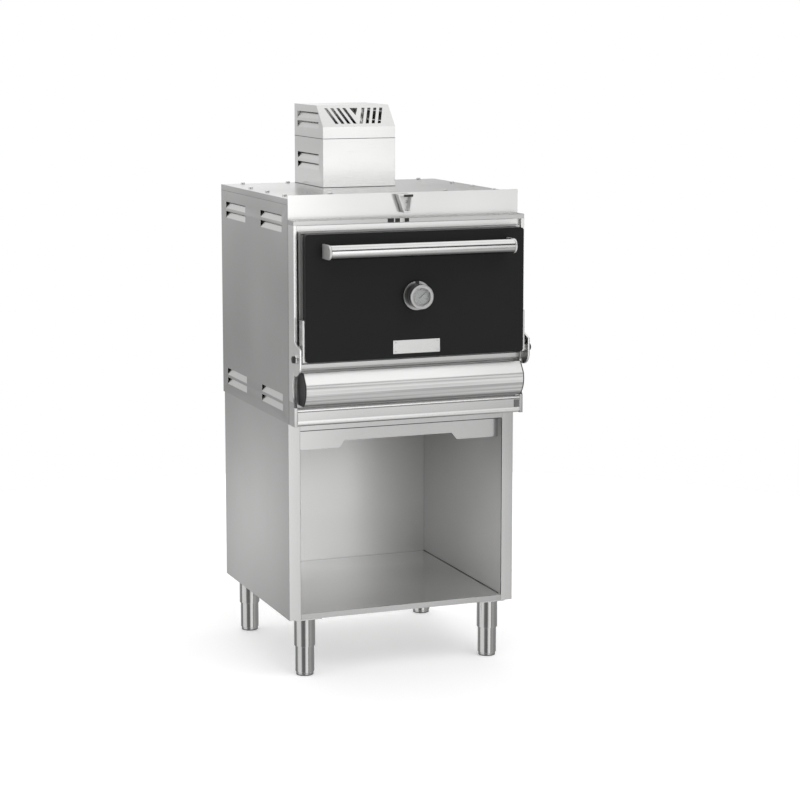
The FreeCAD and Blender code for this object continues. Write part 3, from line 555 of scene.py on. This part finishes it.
pin = {  # rings of (along, radius) in mm, from the oven's middle outwards; the shaft ends in its collar
    "centre": (0, -18 + rim, 889),
    "shaft": [(312, 6), (330.1, 6), (330.1, 11.7), (330.9, 12.5), (333.9, 12.5), (335.1, 11.3)],
    "knob": [(335.15, 9.5), (340.3, 9.5), (341.4, 8.8), (341.9, 7.3)],
}
shafts = []
knobs = []
for side in ("left", "right"):
    shafts.append(turned(pin["shaft"], pin["centre"], facing[side]))
    knobs.append(turned(pin["knob"], pin["centre"], facing[side]))
settle(joined(shafts), "hinge_pin_shafts", bodyOf["hinge_pins"], "polished",
       ["hinge_pins"])
settle(joined(knobs), "hinge_pin_knobs", bodyOf["hinge_pins"], "black")
print("hinge pins turned")


clip = {"top": (-30, 13), "foot": (-13, 6), "low": 1262, "high": 1311, "front": 18, "back": 40, "wall": 4.0,
        "depth": 18, "edge": 0.7, "axis": 1291, "hub": 10, "hubStart": 40.1, "hubEnd": 44.7}  # mm
obj = block((clip["top"][0], clip["front"] + rim, clip["low"]),
            (clip["top"][1], clip["back"] + rim, clip["high"]), 0)
bpy.ops.object.mode_set(mode="EDIT")
bpy.ops.mesh.select_all(action="DESELECT")
bpy.ops.object.mode_set(mode="OBJECT")
for vertex in obj.data.vertices:
    vertex.select = vertex.co.z < (clip["low"] + clip["high"]) / 2 * mm
bpy.ops.object.mode_set(mode="EDIT")
narrow = (clip["foot"][1] - clip["foot"][0]) / (clip["top"][1] - clip["top"][0])
still = (clip["foot"][0] - narrow * clip["top"][0]) / (1 - narrow)  # the X that keeps its place
bpy.ops.transform.resize(value=(narrow, 1, 1), center_override=(still * mm, 0, clip["low"] * mm))
bpy.ops.mesh.select_mode(type="FACE")
bpy.ops.mesh.select_all(action="DESELECT")
bpy.ops.object.mode_set(mode="OBJECT")
for face in obj.data.polygons:
    face.select = face.normal.y < -0.9
bpy.ops.object.mode_set(mode="EDIT")
bpy.ops.mesh.inset(thickness=clip["wall"] * mm)
bpy.ops.mesh.extrude_region_move(TRANSFORM_OT_translate={"value": (0, clip["depth"] * mm, 0)})
bpy.ops.mesh.select_mode(type="VERT")
bpy.ops.object.mode_set(mode="OBJECT")
edged(obj, clip["edge"])
hubSteps = [(-clip["hubEnd"], clip["hub"]), (-clip["hubStart"], clip["hub"])]
hub = turned(hubSteps, (0, rim, clip["axis"]), facing["front"])
settle(joined([obj, hub]), "damper_clip", bodyOf["damper_lever"], "clip",
       ["damper_lever"])
print("damper clip folded")


trim = {  # small plates, with their corners in mm, Y from the front rim, their edge, body and finish
    # a black bar along the top right of the clip
    "clip_top_dark_bar": ((-13, 16.6, 1304.5), (13, 20.5, 1310.8), 0.6, "damper", "black", "pad_plastic"),
    # black plates: painted shade inside three slots in the rim's upper bar
    "rim_slot_shade_left": ((-65.8, 1.5, 1240.2), (-49.2, 3.0, 1248.8), 0.2, "oven", "black", "pad_plastic"),
    "rim_slot_shade_middle": ((-44.3, 1.5, 1240.2), (-32.2, 3.0, 1248.8), 0.2, "oven", "black", "pad_plastic"),
    "rim_slot_shade_right": ((-17.3, 1.5, 1240.2), (-6.2, 3.0, 1248.8), 0.2, "oven", "black", "pad_plastic"),
    "hat_seam": ((-108.2, 396.75, 1441.6), (108.2, 644.2, 1442.9), 0.1, "oven", "black", "pad_plastic"),
    "hat_foot_seam": ((-108.2, 396.75, 1306.1), (108.2, 644.2, 1307.4), 0.1, "oven", "black", "pad_plastic"),
    "rail_plug": ((303, -1.2, 721), (319, -0.1, 742), 0.5, "oven", "pad", "pad_plastic"),
    "dial_stop": ((-5.5, -47.2, 1078.5), (5.5, -41, 1086.4), 1.2, "door", "black", "pad_plastic"),
    "cover_seam_left": ((-330.12, 47, 1289.6), (-329.4, 647.5, 1290.3), 0.1, "oven", "pad", "pad_plastic"),
    "cover_seam_right": ((329.4, 47, 1289.6), (330.12, 647.5, 1290.3), 0.1, "oven", "pad", "pad_plastic"),
}
for name, (low, high, edge, body, look, slot) in trim.items():
    obj = block((low[0], low[1] + rim, low[2]), (high[0], high[1] + rim, high[2]), edge)
    settle(obj, name, body, look)
print("small plates placed")


shelfLow, shelfHigh = [[value / mm for value in corner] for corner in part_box("cabinet_shelf")]
wall, back, shelfTop = shelfHigh  # inner sides of the cabinet
lip = shelfLow[1] + 1
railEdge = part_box("cabinet_rails")[1][2] / mm - 22  # lower edge of the front rail
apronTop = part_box("cabinet_apron")[1][2] / mm - 3
seam = {"gap": 1.4, "hair": 0.5, "sunk": 0.1, "front": 20, "edge": 0.2}  # mm
rear = back - seam["gap"], back - seam["sunk"]
foot = shelfTop, shelfTop + seam["gap"]
corners = [((1 - wall, rear[0], foot[0]), (wall - 1, rear[1], foot[1])),  # across the back
           ((2 - wall, lip + 1, railEdge - 2.2), (wall - 2, lip + 3, railEdge - seam["sunk"]))]  # painted shadow under the rail
for side in (-1, 1):
    near = side * (wall - seam["sunk"])
    wide = sorted((near, side * (wall - seam["gap"])))
    thin = sorted((near, side * (wall - seam["hair"])))
    corners += [
        ((wide[0], shelfLow[1] + seam["front"], foot[0]), (wide[1], back - 1, foot[1])),  # at a wall's foot
        ((wide[0], rear[0], shelfTop + 1), (wide[1], rear[1], apronTop)),  # up a back corner
        ((thin[0], lip, shelfTop + 1), (thin[1], lip + 3, railEdge - 3))]  # painted shade up a front edge
# dark joints in the cabinet's corners, with painted shade along its front edges and under its rail
jointsAndShade = [block(low, high, seam["edge"]) for low, high in corners]
settle(joined(jointsAndShade), "cabinet_joints_and_shade", "oven", "black")
print("cabinet seams drawn")


rivets = {  # places in mm, Y from the front rim
    "plate": {"sides": ["front"], "x": (-60, 60), "y": -41.5, "z": (899, 923), "start": 0.05, "radius": 2.4},
    "strap": {"sides": ["left", "right"], "x": [0], "y": -19, "z": (925, 972), "start": 318.05, "radius": 4.5},
}
headShape = [(0, 1), (0.5, 1), (1.1, 0.75), (1.4, 0.35)]  # rise in mm, share of the radius
heads = []
for kind in rivets.values():
    steps = [(kind["start"] + rise, kind["radius"] * share) for rise, share in headShape]
    for side in kind["sides"]:
        places = [(x, kind["y"] + rim, z) for x in kind["x"] for z in kind["z"]]
        heads += [turned(steps, centre, facing[side], 24) for centre in places]
settle(joined(heads), "door_rivets", "door", "polished")
ring = {"centre": (0, rim, 1047), "steps": [(78.6, 23.0), (80.4, 23.5), (81.4, 25.0), (81.4, 30.4),
                                            (81.0, 32.0), (79.4, 32.9), (78.6, 32.6), (78.6, 23.0)]}
bezel = turned(ring["steps"], ring["centre"], facing["front"], 96)
settle(bezel, "thermometer_bezel", "door", "bezel")
print("rivets and bezel turned")


stage = {"radius": 2.6, "pale": 0.9, "lift": 0.3}
bpy.ops.object.select_all(action="DESELECT")
bpy.ops.mesh.primitive_circle_add(vertices=96, radius=stage["radius"], fill_type="NGON", location=(0, 0, 0))
floor = bpy.context.object
floor.name = "floor"
tree = newFinish("paleFloor")
seen = tree.node("ShaderNodeLightPath", {}, {}, "Is Camera Ray")
close(tree, {"Base Color": (stage["pale"],) * 3 + (1,), "Roughness": 0.9, "Emission Strength": 1.0,
             "Emission Color": mixed(tree, seen, (0, 0, 0, 1), (stage["lift"],) * 3 + (1,))})
floor.data.materials.append(tree.owner)
floor.visible_glossy = False  # metal shows the studio, not the disc


studio = {  # brightness round the oven, by degrees to the right of its front and by degrees above the horizon
    "around": [(-180, 0.55), (-160, 0.6), (-152, 0.45), (-135, 0.3), (-118, 0.4), (-108, 1.15), (-62, 1.15),
               (-50, 0.25), (-16, 0.18), (-8, 0.9), (2, 1.35), (21.2, 1.36), (26, 0.3), (40, 0.6), (58, 0.55),
               (75, 0.42), (140, 0.42), (152, 0.35), (157, 0.45), (162, 1.0), (170, 0.8), (180, 0.55)],
    "front": [(-90, 0.5), (-65, 0.7), (-45, 1.1), (-30, 1.05), (-15, 0.9), (-6, 1.1), (14, 1.15), (19, 0.06),
              (33, 0.05), (38, 1.15), (62, 1.05), (70, 0.86), (90, 0.6)],
    "back": [(-90, 0.3), (-40, 0.65), (-16, 0.8), (-14.5, 0.95), (-12.3, 1.35), (-10.3, 0.95), (-8.8, 0.62),
             (-6.5, 0.72), (-3.5, 1.15), (4, 1.1), (30, 1.3), (60, 1.1), (90, 0.8)],
}
world = bpy.context.scene.world or bpy.data.worlds.new("studio")
bpy.context.scene.world = world
tree = Tree(world)
ray = tree.node("ShaderNodeTexCoord", {}, {}, "Generated")
x = coordinate(tree, "X", ray)
y = coordinate(tree, "Y", ray)
z = coordinate(tree, "Z", ray)


def levels(angle, stops, span):
    shades = [((at + span / 2) / span, (level / 2,) * 3) for at, level in stops]  # halved, doubled below
    return tree.node("ShaderNodeValToRGB", {"stops": shades}, {0: angle * (180 / math.pi / span) + 0.5}) * 2


rise = z.op("ARCSINE", z)
behind = remap(tree, y, -0.2, 0.3, 0.0, 1.0, True)
high = remap(tree, z, 0.45, 0.8, 0.0, 1.0, True)  # overhead and underfoot the light evens out
low = remap(tree, z, -0.7, -0.45, 0.6, 0.0, True)
around = levels(x.op("ARCTAN2", x, y * -1), studio["around"], 360)
upward = levels(rise, studio["front"], 180) * (1 - behind) + levels(rise, studio["back"], 180) * behind
level = (around * (1 - high - low) + high + low) * upward
seen = tree.node("ShaderNodeLightPath", {}, {}, "Is Camera Ray")
shown = level * (1 - seen) + seen
glow = tree.node("ShaderNodeBackground", {}, {"Color": (1, 1, 1, 1), "Strength": shown})
tree.node("ShaderNodeOutputWorld", {}, {0: glow})


key = {"strength": 0.9, "angle": 70, "tilt": 58, "turn": 30}
bpy.ops.object.light_add(type="SUN", location=(2, -3, 4))
lamp = bpy.context.object
lamp.data.energy = key["strength"]
lamp.visible_glossy = False  # metal shows the studio, not the lamp
lamp.data.angle = math.radians(key["angle"])
lamp.rotation_euler = (math.radians(key["tilt"]), 0, math.radians(key["turn"]))
fill = {"place": (0.3, -2.3, 0.32), "aim": (-0.1, 0.37, 0.19), "power": 80, "cone": 11, "soft": 0.2}
bpy.ops.object.light_add(type="SPOT", location=fill["place"])
spot = bpy.context.object  # lights the inside of the cabinet
spot.data.energy = fill["power"]
spot.data.spot_size = math.radians(fill["cone"])
spot.data.spot_blend = 1.0
spot.data.shadow_soft_size = fill["soft"]
spot.visible_glossy = False
spot.rotation_euler = (Vector(fill["aim"]) - Vector(fill["place"])).to_track_quat("-Z", "Y").to_euler()
print("stage and light set")


lens = {"place": (-2.18792, -5.81208, 1.75197), "pitch": 0.1438, "yaw": 0.3712, "focal": 101.0, "sensor": 36,
        "shift": -0.06}
bpy.ops.object.camera_add(location=lens["place"], rotation=(math.pi / 2 - lens["pitch"], 0, -lens["yaw"]))
camera = bpy.context.object
camera.data.lens = lens["focal"]
camera.data.sensor_width = lens["sensor"]
camera.data.shift_y = lens["shift"]
bpy.context.scene.camera = camera
bpy.context.scene.view_settings.view_transform = "Standard"
